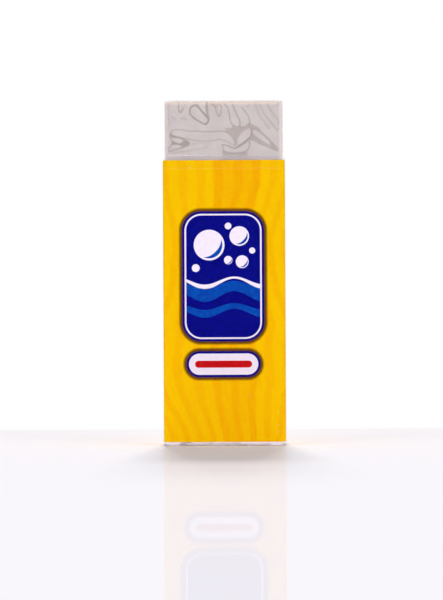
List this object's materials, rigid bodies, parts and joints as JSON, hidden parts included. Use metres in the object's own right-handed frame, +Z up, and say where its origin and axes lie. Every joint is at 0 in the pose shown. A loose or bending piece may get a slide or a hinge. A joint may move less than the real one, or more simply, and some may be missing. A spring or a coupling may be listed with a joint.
{
  "type": "rubber eraser",
  "caption": "Vinyl eraser block in a printed yellow card sleeve, its end left bare, overwrapped in clear film with folded ends and a tear tape.",
  "frame": {"origin": "middle of the lower end, on the plane that the eraser stands on", "axes": "+X right across the printed front, +Y to the back where the lap seam is, +Z up along the length towards the bare end of the block"},
  "size_m": [0.022, 0.0123, 0.062],
  "materials": {
    "vinyl": "matte, light warm grey with fine specks",
    "printed_card": "printed yellow outside with faint orange waves, white card core and inside",
    "clear_film": "clear, glossy",
    "clear_tape": "clear, glossy"
  },
  "bodies": {
    "root": {"rubber_block": "vinyl", "card_sleeve": "printed_card", "film_wrap": "clear_film", "tear_tape": "clear_tape"}
  },
  "joints": []
}
